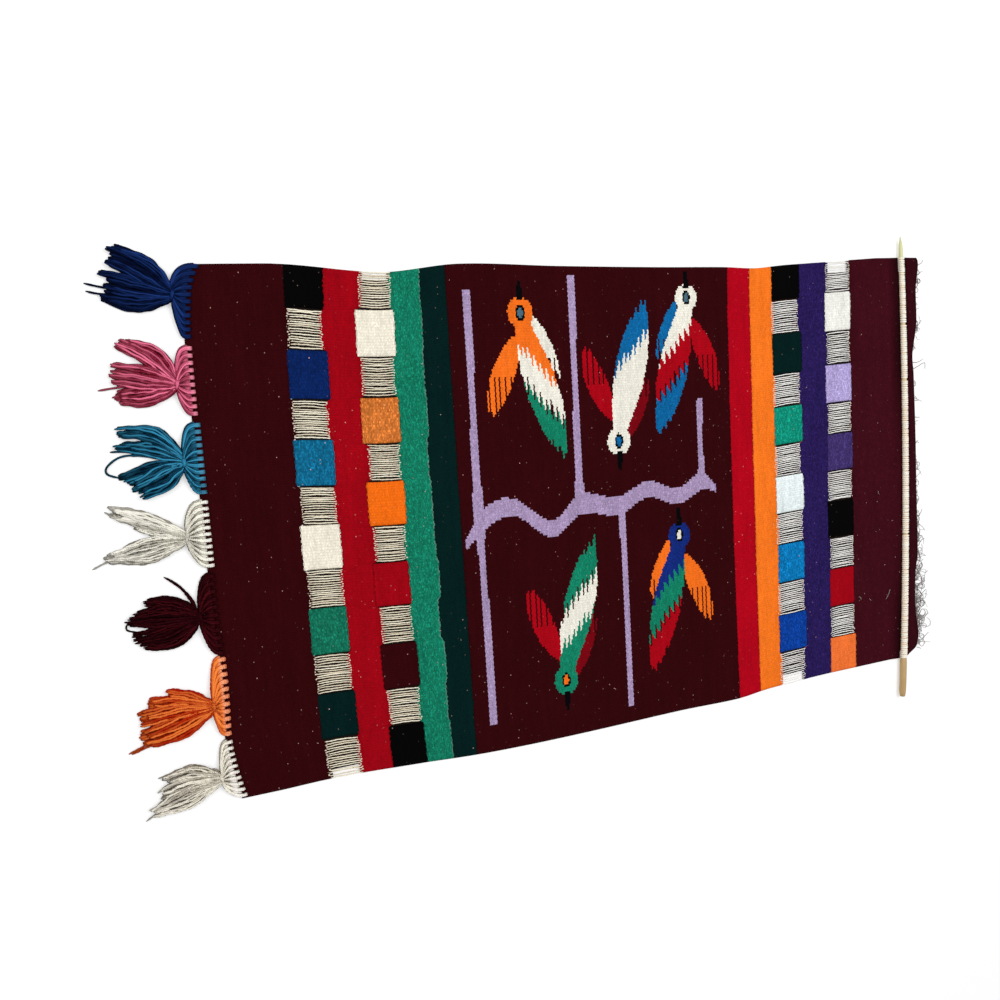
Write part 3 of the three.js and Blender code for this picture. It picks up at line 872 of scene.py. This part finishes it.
def makeRod():  # a whittled stick, bowed a little
    bm = bmesh.new()
    bmesh.ops.create_cone(bm, cap_ends=True, segments=rod["sides"], radius1=1, radius2=1, depth=2)
    bmesh.ops.rotate(bm, verts=bm.verts[:], cent=(0, 0, 0), matrix=Matrix.Rotation(math.pi / 2, 3, "X"))
    for y in [-1 + 2 * i / rod["rings"] for i in range(1, rod["rings"])] + list(rod["endRings"]):
        whole = bm.verts[:] + bm.edges[:] + bm.faces[:]
        bmesh.ops.bisect_plane(bm, geom=whole, plane_co=(0, y, 0), plane_no=(0, 1, 0))
    near, far = rod["nearEnd"], rod["farEnd"]
    knotHigh, knotLong, knotTurns = rod["knots"]
    dentHigh, dentLong, dentTurns = rod["dents"]
    for vert in bm.verts:
        y = near + (far - near) * (vert.co.y + 1) / 2
        turn = math.atan2(vert.co.z, vert.co.x)
        radius = rodRadius(y)
        share = rod["bluntShare"] + (1 - rod["bluntShare"]) * smooth((y - near) / rod["blunt"])
        if y > rod["neckFrom"]:
            share = rod["neckShare"] - rod["pointShare"] * smooth((rod["point"] - (far - y)) / rod["point"])
        knot = 1 + knotHigh * math.sin(y / knotLong + knotTurns * turn)
        knot += dentHigh * math.sin(y / dentLong + dentTurns * turn)
        share *= min(knot, rod["mostKnot"])
        reach = radius * share * (rod["underShare"] if 0 < y < rod["neckFrom"] else rod["bareShare"])
        x = rod["middle"][0] + rodSwing(y) + reach * math.cos(turn)
        vert.co = placed(x, y, rod["lift"] + radius + reach * math.sin(turn))
    bmesh.ops.recalc_face_normals(bm, faces=bm.faces[:])
    for face in bm.faces:
        face.smooth = len(face.verts) < 6
    return finished("hangingRod", bm, rodWood())


# Tassels: yarn looped through the edge, tied at a waist, loose below it
tasselShape = {  # any tassel may say its own
    "stitches": 11, "radius": 1.6, "pinch": 0.16, "twist": 11.0, "sides": 8, "step": 2.0, "reach": 5.6,
    "pairHalf": 0.9, "spacing": 2.6, "tied": 0.66, "waistHalf": 5.0, "wrapTurns": 2.3, "rise": 10,
    "crimp": 0.25, "sharp": 3.6, "lit": 0.22, "fadeFrom": 15, "fadeLong": 62, "buried": (0.9, 3.8),
    "tones": (0.0, 0.0, 0.25, 0.5, 0.75, 1.0), "underTones": (0.0, 0.25, 0.5),
    "swell": [(0, 0.0), (0.15, 0.46), (0.35, 0.86), (0.58, 1.0), (0.82, 0.96), (1, 0.8)],  # along a lock
    "widest": 0.58, "bunchHalf": 3.6, "gatherFrom": 0.4, "gather": 0.24,  # the ends gather in little bunches
    "cut": (0.88, 1.04), "uneven": 0.035, "roundCut": 0.04, "wobble": (0.6, 13), "ripple": (0.35, 10),
    "puff": 1.6, "under": 1.2, "bulge": (1.0, 0.45),  # the outer strands bow out the most
    "wrap": (2.6, 18, 0.6),  # how far along the waist, points to a turn, share of the radius
}
creamShape = {"pairHalf": 0.7, "rise": 9, "crimp": 0.45, "sharp": 1.2, "tones": (0.4, 0.7, 0.9, 1.0)}
tassels = [  # low and high y on the edge, waist x and y
    # each lock: tip x, tip y, half its width, sideways bow, half width left at the tip, lift
    # strays: single strands by the points they pass
    {"name": "navyTassel", "slot": "navy_yarn", "low": 525, "high": 606.5, "waist": (-8, 573),
     "light": shown(28, 56, 122), "deep": shown(1, 6, 30), "tip": shown(10, 20, 54),
     "stitch": shown(18, 34, 80),
     "locks": [(-69, 619, 14, 6, 0.85, 1.5), (-79, 592, 11, 0, 0.9, 0.5), (-78, 575, 11, -7, 0.6, 0)],
     "strays": [((-50, 577), (-78, 583), (-93, 587)), ((-52, 573), (-80, 576), (-92, 579))]},
    {"name": "pinkTassel", "slot": "pink_yarn", "low": 442, "high": 520, "stitches": 10, "waist": (-12, 478),
     "light": shown(252, 126, 162), "deep": shown(106, 0, 26), "tip": shown(214, 96, 118),
     "stitch": shown(240, 146, 166),
     "locks": [(-68, 529, 12, 8, 0.75, 1), (-79, 494, 13, 1, 0.95, 0.5), (-76, 467, 11, -5, 0.8, 0)],
     "strays": [((-50, 479), (-74, 478), (-91, 476)), ((-44, 466), (-64, 470), (-78, 468))]},
    {"name": "tealTassel", "slot": "teal_yarn", "low": 356, "high": 437, "reach": 7, "waist": (-13, 394),
     "light": shown(58, 151, 190), "deep": shown(0, 22, 42), "tip": shown(12, 70, 88),
     "stitch": shown(78, 144, 176),
     "locks": [(-80, 434, 9, 13, 0.5, 1), (-82, 418, 8, 5, 0.6, 0.5), (-82, 378, 10, 1, 0.7, 0),
               (-67, 366, 15, -3, 0.8, 2.5)],
     "strays": [((-56, 405), (-76, 405), (-90, 396), (-91, 388), (-80, 383)),
                ((-50, 404), (-70, 410), (-86, 411))]},
    {"name": "creamTassel", "slot": "cream_yarn", "low": 274, "high": 352, "waist": (-18, 312),
     **creamShape, "reach": 6.8, "lit": 0.5,
     "light": shown(255, 252, 238), "deep": shown(98, 88, 64), "tip": shown(255, 250, 238),
     "stitch": shown(255, 252, 246),
     "locks": [(-99, 355, 6, 4, 0.3, 1), (-93, 343, 6, 2, 0.4, 0.5), (-72, 330, 6, 0, 0.5, 0),
               (-104, 297, 14, -3, 0.35, 0)],
     "strays": [((-70, 300), (-98, 295), (-116, 288)), ((-60, 325), (-80, 336), (-98, 348))]},
    {"name": "maroonTassel", "slot": "maroon_yarn", "low": 173, "high": 270, "waist": (-13, 222),
     "light": shown(78, 14, 22), "deep": shown(26, 1, 4), "tip": shown(44, 5, 9), "stitch": shown(58, 9, 16),
     "locks": [(-71, 248, 9, 5, 0.5, 0.5), (-88, 229, 14, 3, 0.6, 1), (-83, 202, 16, -7, 0.7, 0)],
     "strays": [((-20, 240), (-30, 256), (-46, 271)), ((-19, 241), (-30, 258), (-44, 270)),
                ((-60, 224), (-84, 226), (-89, 218), (-76, 213))]},
    {"name": "orangeTassel", "slot": "orange_yarn", "low": 79, "high": 174, "reach": 6.2, "waist": (-8, 118),
     "tones": (0.0, 0.25, 0.6, 1.0, 1.0), "fadeFrom": 38, "lit": 0.7, "spacing": 3.4, "radius": 1.95,
     "light": shown(255, 140, 62), "deep": shown(164, 20, 0), "tip": shown(238, 124, 56),
     "stitch": shown(255, 178, 140),
     "locks": [(-59, 143, 6, 3, 0.7, 0), (-79, 134, 7, 3, 0.8, 0.5), (-89, 117, 10, 3, 0.9, 1),
               (-89, 91, 15, -4, 0.8, 1.5)],
     "strays": [((-60, 96), (-84, 86), (-101, 80)), ((-58, 92), (-82, 84), (-98, 79))]},
    {"name": "paleTassel", "slot": "cream_yarn", "low": 4, "high": 76.5, "waist": (-7, 33),
     **creamShape, "stitches": 10, "reach": 6.2, "lit": 0.4,
     "light": shown(255, 249, 232), "deep": shown(92, 74, 48), "tip": shown(255, 248, 234),
     "stitch": shown(255, 250, 244),
     "locks": [(-69, 43, 9, 7, 0.5, 0), (-77, 27, 10, 3, 0.7, 0.5), (-86, 8, 13, -2, 0.4, 1)],
     "strays": [((-50, 36), (-66, 46), (-74, 46)), ((-56, 16), (-76, 8), (-91, 0))]},
]


def fanPath(tassel, v, order, top):  # from the cloth's edge in to the waist
    waist = tassel["waist"]
    edge = through(cloth["tasselEnd"], v)
    waistAt = Vector((waist[0], waist[1] + order * tassel["waistHalf"], waistHigh(tassel, order, top)))
    if top:  # a stitch over the edge
        inner = edge + tassel["reach"]
        path = [(inner + 0.3, v, 1.6), (inner - 0.4, v, 4.2), (edge + 3.0, v, 4.8), (edge + 0.4, v, 4.6)]
    else:  # out from under it
        path = [(edge + 1.6, v, 1.9), (edge + 0.2, v, 2.4)]
    low = 3.6 if top else 2.6
    fullness = 1.12 + tassel["bulge"][0 if order > 0 else 1] * abs(order) ** 1.4
    for left in (0.94, 0.8, 0.6, 0.38, 0.17):
        drawn = (1 - left ** fullness) ** (1 / fullness)
        x = edge - 0.5 + (waistAt.x - edge + 0.5) * drawn
        y = waistAt.y + (v - waistAt.y) * left
        path.append((x, y, low + (waistAt.z - low) * drawn))
    return [Vector(spot) for spot in path] + [waistAt]


def waistHigh(tassel, order, top):
    crown = math.sqrt(max(0.0, 1 - order * order))
    return tassel["rise"] * (0.5 + 0.34 * crown) if top else 1.6 + 1.6 * (1 - crown)


def skirtPath(tassel, lock, side, order, top, chance, bunchCut):
    tipX, tipY, half, bow, endShare, lift = lock
    waist = Vector((*tassel["waist"], 0))
    tip = Vector((tipX, tipY, 0)) - waist
    out = tip.normalized()
    across = Vector((out.y, -out.x, 0))  # towards the far selvage
    low = 4.4 + lift if top else 1.6 + lift * 0.4
    bunches = max(1, round(half / tassel["bunchHalf"]))
    bunch = min(int((side + 1) / 2 * bunches), bunches - 1)
    gather = (2 * bunch + 1) / bunches - 1
    cut = bunchCut[bunch] * (1 - chance.uniform(0, tassel["uneven"])) * (1 - tassel["roundCut"] * side * side)
    wobble = chance.uniform(0, fullTurn)
    start = waistHigh(tassel, order, top)
    aside, asideEvery = tassel["wobble"]
    ripple, rippleEvery = tassel["ripple"]
    path = []
    for t in (0.09, 0.2, 0.34, 0.5, 0.66, 0.82, 0.92, 1.0):
        drawn = tassel["gather"] * smooth((t - tassel["gatherFrom"]) / 0.6)
        place = side + (gather - side) * drawn
        swell = through(tassel["swell"], t)
        if t > tassel["widest"]:
            swell = 1 - (1 - endShare) * smooth((t - tassel["widest"]) / 0.42)
        spot = waist + tip * (t * cut) + across * (place * half * swell + bow * math.sin(math.pi * t))
        spot.y += order * tassel["waistHalf"] * (1 - smooth(t / 0.3))
        spot += across * aside * math.sin(t * asideEvery + wobble)
        puff = tassel["puff"] * (1 - side * side) * math.sin(math.pi * t) if top else 0
        spot.z = start + (low + puff - start) * smooth(t / 0.55) + ripple * math.sin(t * rippleEvery + wobble)
        path.append(spot)
    return path


def crimped(points, depth, phase):  # little waves along the loose part of a strand
    last = len(points) - 1
    for k, point in enumerate(points):
        wave = depth * math.sin(k * 0.85 + phase) * smooth((k - 14) / 8)
        ahead = points[min(k + 1, last)] - points[max(k - 1, 0)]
        ahead.z = 0
        ahead.normalize()
        point += Vector((ahead.y, -ahead.x, 0)) * wave
    return points


def shared(points, waist):  # each point with its share: drawn thin at the waist, tapered at the tip
    shape = tasselShape
    run = []
    for k, point in enumerate(points):
        left = (len(points) - 1 - k) * shape["step"]
        taper = min(1.0, 0.5 + 0.3 * left / shape["step"])
        aside = (point.xy - waist).length
        share = taper * (shape["tied"] + (1 - shape["tied"]) * smooth(aside / 15))
        point.z = max(point.z, shape["radius"] * 1.25 * share + 0.02)
        run.append((point, share * (1 + 0.06 * math.sin(k * 0.8 + point.x))))
    return run


def tasselRuns(tassel, seed):
    chance = random.Random(seed)
    waist = Vector(tassel["waist"])
    locks = sorted(tassel["locks"], key=lambda lock: lock[1])
    stitchPitch = (tassel["high"] - tassel["low"]) / tassel["stitches"]
    fans = 2 * tassel["stitches"]
    runs = []
    for top in (True, False):
        places = []
        for lock in locks:
            count = max(2, round(2 * lock[2] / tassel["spacing"])) + (0 if top else 2)
            cuts = [chance.uniform(*tassel["cut"]) for _ in range(9)]
            places += [(lock, (2 * i + 1) / count - 1, cuts) for i in range(count)]
        full = len(places) >= fans  # or else some places take two strands
        spread = (len(places) - 1) / (fans - 1)
        fanFor = {round(i * spread) if full else i: i for i in range(fans)}
        for i in range(max(fans, len(places))):
            lock, side, cuts = places[i if full else round(i * spread)]
            fan = fanFor.get(i)
            order = (2 * i + 1) / max(fans, len(places)) - 1
            if fan is not None:
                v = tassel["low"] + (fan // 2 + 0.5) * stitchPitch + (2 * (fan % 2) - 1) * tassel["pairHalf"]
                if not top:  # between the stitches
                    v = min(v + stitchPitch / 2, tassel["high"] - 1.5)
                path = fanPath(tassel, v, order, top)
            else:
                high = waistHigh(tassel, order, top) - 0.8
                path = [Vector((waist.x + 1.5, waist.y + order * tassel["waistHalf"], high))]
            side = min(max(side + chance.uniform(-0.05, 0.05), -1), 1)
            path += skirtPath(tassel, lock, side, order, top, chance, cuts)
            tone = chance.choice(tassel["tones" if top else "underTones"])
            points = crimped(softRun(path, tassel["step"]), tassel["crimp"], chance.uniform(0, fullTurn))
            thick = 1.0 if top else tassel["under"]
            runs.append((tone, [(point, share * thick) for point, share in shared(points, waist)]))
    for stray in tassel["strays"]:
        path = [Vector((*waist, 4)), Vector((*waist.lerp(Vector(stray[0]), 0.5), 4))]
        path += [Vector((*spot, 2.2)) for spot in stray]
        points = softRun(path, tassel["step"])
        runs.append((0.25, [(point, share * (0.75 if k > len(points) / 2 else 1))
                            for k, (point, share) in enumerate(shared(points, waist))]))
    wrap = []
    wrapLong, wrapPoints, wrapShare = tassel["wrap"]
    steps = tassel["wrapTurns"] * wrapPoints
    middle = Vector((sum(lock[0] for lock in locks), sum(lock[1] for lock in locks))) / len(locks)
    way = (middle - waist).normalized()
    beside = Vector((way.y, -way.x))
    for i in range(int(steps) + 1):
        turn = 2 * math.pi * i / wrapPoints
        spot = waist + way * (wrapLong * i / steps - wrapLong / 2)
        spot += beside * (tassel["waistHalf"] + 1.1) * math.cos(turn)
        high = tassel["rise"] * 0.5 + (tassel["rise"] * 0.5 + 0.1) * math.sin(turn)
        wrap.append((Vector((*spot, max(high, 1.0))), wrapShare))
    runs.append((1.0, wrap))
    return runs


# Frayed warp ends past the rod
frays = {
    "radius": 0.42, "step": 1.5, "mostReach": 27, "mostBend": 0.5, "bendStep": 0.14, "taper": 0.45,
    "spread": 10, "from": 2.5, "high": 1.9, "lowest": 0.6, "fall": 0.25, "thick": (0.75, 1.15),
    # loose hairs on the cloth: x, y, how long, heading, bend
    "lint": [(971, 100, 16, 0.8, 0.05), (923, 106, 7, 1.5, 0.4), (942, 102, 4, 2.2, 0.2),
             (958, 262, 5, 1.3, 0.2)],
    # y on the edge, how long the ends are, which way they lean, how many, how curly
    "tufts": [
        (590, 12, 0.3, 4, 1.5), (572, 30, -0.9, 5, 1.3), (540, 9, -0.5, 3, 1), (512, 10, 0.2, 4, 2.2),
        (498, 17, 0.6, 8, 1.6), (470, 9, -0.4, 4, 1.2), (446, 34, 0.7, 3, 0.5), (428, 12, -0.3, 4, 1.5),
        (404, 18, -0.8, 4, 0.8), (370, 10, 0.2, 3, 1.4), (322, 10, 0.4, 4, 1.6), (300, 15, 0.5, 7, 2.0),
        (286, 12, -0.6, 4, 1.2), (262, 9, -0.4, 4, 1.6), (240, 13, -0.2, 6, 2.2), (222, 13, -0.7, 6, 1.4),
        (204, 18, -0.6, 7, 1.2), (186, 13, 0.3, 8, 1.8), (166, 17, -0.5, 9, 1.5),
        (148, 20, -0.7, 10, 1.3), (130, 26, -0.4, 11, 1.2), (112, 32, -0.4, 12, 1.1),
        (96, 36, -0.2, 13, 1.3), (80, 40, 0.3, 13, 1.3), (64, 38, 0.4, 12, 1.3), (48, 30, -0.2, 10, 1.3),
        (34, 18, -0.4, 8, 1.4), (20, 9, -0.6, 4, 1.4),
    ],
}


def frayRuns():  # each end wanders off on a bend of its own
    chance = random.Random(5)
    runs = []
    for y, long, lean, count, curly in frays["tufts"]:
        for k in range(count):
            v = y + chance.uniform(-frays["spread"], frays["spread"])
            place = Vector((cloth["long"] + through(cloth["rodEnd"], v) - frays["from"], v, frays["high"]))
            heading = lean * chance.uniform(0.2, 1.4) + chance.uniform(-0.5, 0.5)
            bend = chance.uniform(-0.2, 0.2) * curly
            reach = place.x + frays["mostReach"]
            points = [place]
            for i in range(max(4, round(long * chance.uniform(0.6, 1.5) / frays["step"]))):
                bend += chance.uniform(-frays["bendStep"], frays["bendStep"]) * curly
                bend = min(max(bend, -frays["mostBend"]), frays["mostBend"])
                heading += bend
                step = Vector((math.cos(heading), math.sin(heading), 0)) * frays["step"]
                place = place + step
                place.x = min(place.x, reach)
                place.z = max(frays["lowest"], frays["high"] - frays["fall"] * i) + chance.uniform(0, 0.5)
                points.append(place)
            share = chance.uniform(*frays["thick"])
            taper = frays["taper"] / len(points)
            run = [(point, share * (1 - taper * i)) for i, point in enumerate(points)]
            runs.append((0.25 * (k % 4), run))
    for x, y, long, heading, bend in frays["lint"]:
        points = []
        for i in range(round(long / frays["step"]) + 1):
            points.append((Vector((x, y, clothHeight(x, y) + cloth["thick"] + 0.5)), 0.85))
            x += frays["step"] * math.cos(heading)
            y += frays["step"] * math.sin(heading)
            heading += bend
        runs.append((1.0, points))
    return runs


stage = {
    "floor": 10, "floorColour": (0.8, 0.8, 0.8, 1), "floorLift": 0.32, "world": 0.55,
    # the dark sheet under the cloth is painted shade, seen only between the bare warps
    "under": ((110, 14), (1016, 586)), "underShadeColour": shown(30, 22, 18),  # two corners
    "lamps": [  # name, place, size, power
        ("key", (0.9, 0.6, 2.35), 1.3, 22), ("fill", (-1.5, 0.7, 1.7), 1.6, 16),
    ],
}


def flatPiece(name, spot, material):  # part of the stage
    bm = bmesh.new()
    bmesh.ops.create_grid(bm, x_segments=1, y_segments=1, size=0.5)
    for vert in bm.verts:
        vert.co = spot(vert.co.x, vert.co.y)
    finished(name, bm, material)


def makeGround():
    paint = Paint("groundPaint")
    rays = paint.add("LightPath").socket.node.outputs
    seen = Shade(paint, rays["Is Camera Ray"]).most(Shade(paint, rays["Is Glossy Ray"]))
    seen = seen.most(Shade(paint, rays["Is Transmission Ray"]))
    matte = paint.add("BsdfDiffuse", None, {"Color": stage["floorColour"]})
    lift = paint.add("Emission", None, {"Color": (1, 1, 1, 1), "Strength": seen * stage["floorLift"]})
    both = paint.add("AddShader", None, {0: matte, 1: lift})
    paint.add("OutputMaterial", None, {"Surface": both})
    flatPiece("ground", lambda x, y: (stage["floor"] * x, stage["floor"] * y, -0.05 * mm), paint.owner)

    paint = Paint("underShadePaint")  # the shade under the cloth, seen only between the bare warps
    paint.finish({"Base Color": stage["underShadeColour"], "Roughness": 0.9, "Specular IOR Level": 0.1})
    (fromX, fromY), (toX, toY) = stage["under"]
    flatPiece("shadeUnderCloth", lambda x, y: placed(fromX + (toX - fromX) * (x + 0.5),
                                                fromY + (toY - fromY) * (y + 0.5), 0.02), paint.owner)


def makeLight():
    studio = Paint("studio", bpy.data.worlds.new("studio"))
    bpy.context.scene.world = studio.owner
    rays = studio.add("LightPath").socket.node.outputs
    seen = Shade(studio, rays["Is Camera Ray"]).most(Shade(studio, rays["Is Transmission Ray"]))
    plain = studio.add("Background", None, {"Color": (1, 1, 1, 1), "Strength": stage["world"]})
    white = studio.add("Background", None, {"Color": (1, 1, 1, 1)})
    either = studio.add("MixShader", None, {0: seen, 1: plain, 2: white})
    studio.add("OutputWorld", None, {"Surface": either})
    for name, place, size, power in stage["lamps"]:
        lamp = bpy.data.lights.new(name, "AREA")
        lamp.size = size
        lamp.energy = power
        made = linked(name, lamp)
        made.location = place
        made.rotation_euler = (-Vector(place)).to_track_quat("-Z", "Y").to_euler()


view = {"place": (-69.7, 456.0, 1073.05), "aim": (355.4, 314.4, 0), "sensor": 36, "lens": 33.56,
        "upright": (0.066, 1, 0)}  # the direction that the camera is held upright along


def makeCamera():
    place = placed(*view["place"])
    backward = (place - placed(*view["aim"])).normalized()
    right = Vector(view["upright"]).cross(backward).normalized()
    turn = Matrix((right, backward.cross(right), backward)).transposed()
    data = bpy.data.cameras.new("camera")
    data.sensor_width = view["sensor"]
    data.lens = view["lens"]
    camera = linked("camera", data)
    camera.matrix_world = Matrix.Translation(place) @ turn.to_4x4()
    bpy.context.scene.camera = camera


bpy.context.scene.view_settings.view_transform = "Standard"
makeCamera()
makeLight()
makeGround()
print("stage, light and camera made")

wovenCloth = makeCloth()
print("cloth made:", len(wovenCloth.data.polygons), "faces")

warpPaint = yarnPaint("warpYarn", shown(255, 255, 252), shown(240, 235, 228), 1.0, fine=700.0,
                      end=(shown(255, 247, 220), shown(190, 168, 128), 760, 420))
rodWarpPaint = yarnPaint("rodWarpYarn", shown(255, 254, 244), shown(250, 226, 196), 0.5, fine=700.0)
windowPiece = strandMesh("windowWarps", windowWarps(), warps["radius"], warpPaint)
rodWarpPiece = strandMesh("rodWarps", rodWarps(), rodWarp["radius"], rodWarpPaint)
print("bare warps made:", len(windowPiece.data.polygons), len(rodWarpPiece.data.polygons), "faces")

hangingRod = makeRod()
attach(hangingRod, "root")
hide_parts("hanging_rod")

frayPiece = strandMesh("frayedEnds", frayRuns(), frays["radius"],
                       yarnPaint("frayYarn", shown(176, 168, 164), shown(72, 64, 62), 1.0))
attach(frayPiece, "root")
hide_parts("frayed_ends")
print("rod and frayed ends made")

for i, own in enumerate(tassels):
    tassel = tasselShape | own
    # the tips' painted shade in their grooves is a fifth of the tip colour
    tipShaded = tuple(0.2 * c for c in tassel["tip"][:3]) + (1.0,)
    end = (tassel["tip"], tipShaded, tassel["waist"][0] - tassel["fadeFrom"], tassel["fadeLong"])
    paint = yarnPaint(tassel["name"] + "Yarn", tassel["light"], tassel["deep"], tassel["sharp"],
                      tassel["buried"], tassel["stitch"], end, shine=0.03, lit=tassel["lit"])
    piece = strandMesh(tassel["name"], tasselRuns(tassel, 40 + i), tassel["radius"], paint,
                       tassel["pinch"], tassel["twist"], tassel["sides"])
    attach(piece, "root")
    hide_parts(f"tassel_{i + 1}")

for piece, slot in ((wovenCloth, "woven_wool"), (windowPiece, "warp_yarn"), (rodWarpPiece, "warp_yarn")):
    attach(piece, "root")
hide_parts("woven_field")
windowArea = sum((c["to"] - c["from"]) * cellDeep * c["cells"].count(None) for c in columns)
slotArea = 2 * rod["slotHalf"] * cloth["wide"]
(cloth["wide"] * cloth["long"] - windowArea - slotArea) * mm * mm
